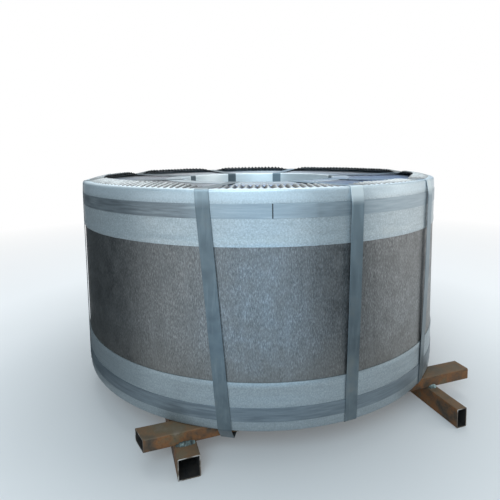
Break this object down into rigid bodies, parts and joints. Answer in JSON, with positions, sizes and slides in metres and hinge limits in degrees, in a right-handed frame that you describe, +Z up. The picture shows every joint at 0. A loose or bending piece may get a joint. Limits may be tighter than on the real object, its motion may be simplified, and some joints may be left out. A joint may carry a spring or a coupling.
{
  "type": "steel coil",
  "caption": "Packed galvanised steel coil standing eye to sky on a welded skid of hollow sections, with sheet edge rings and steel straps.",
  "frame": {"origin": "on the coil's axis, on the floor under the skid", "axes": "+Z up along the coil's axis, X along the two bearers, Y along the two runners, -Y the front"},
  "size_m": [1.1036, 1.1252, 0.6377],
  "materials": {
    "strip_steel": "edges of the wound galvanised strip, satin, with fine circular lines",
    "wrap_sheet": "grey galvanised sheet with fine upright flecks, dulled by handling",
    "ring_sheet": "light blue-grey galvanised sheet, satin",
    "strap_steel": "grey steel strap, dull",
    "rusty_tube": "unpainted hollow section with brown and orange rust",
    "weld_metal": "grey-blue lumpy weld bead"
  },
  "bodies": {
    "root": {"coil": "strip_steel", "outer_wrap": "wrap_sheet", "top_outer_ring": "ring_sheet", "bottom_outer_ring": "ring_sheet", "top_inner_ring": "ring_sheet", "bottom_inner_ring": "ring_sheet", "top_band": "strap_steel", "bottom_band": "strap_steel", "eye_strap_1": "strap_steel", "eye_strap_2": "strap_steel", "eye_strap_3": "strap_steel", "eye_strap_4": "strap_steel", "eye_strap_5": "strap_steel", "eye_strap_6": "strap_steel", "eye_strap_7": "strap_steel", "eye_strap_8": "strap_steel", "bearer_front": "rusty_tube", "bearer_back": "rusty_tube", "runner_left": "rusty_tube", "runner_right": "rusty_tube", "weld_beads": "weld_metal"}
  },
  "joints": []
}
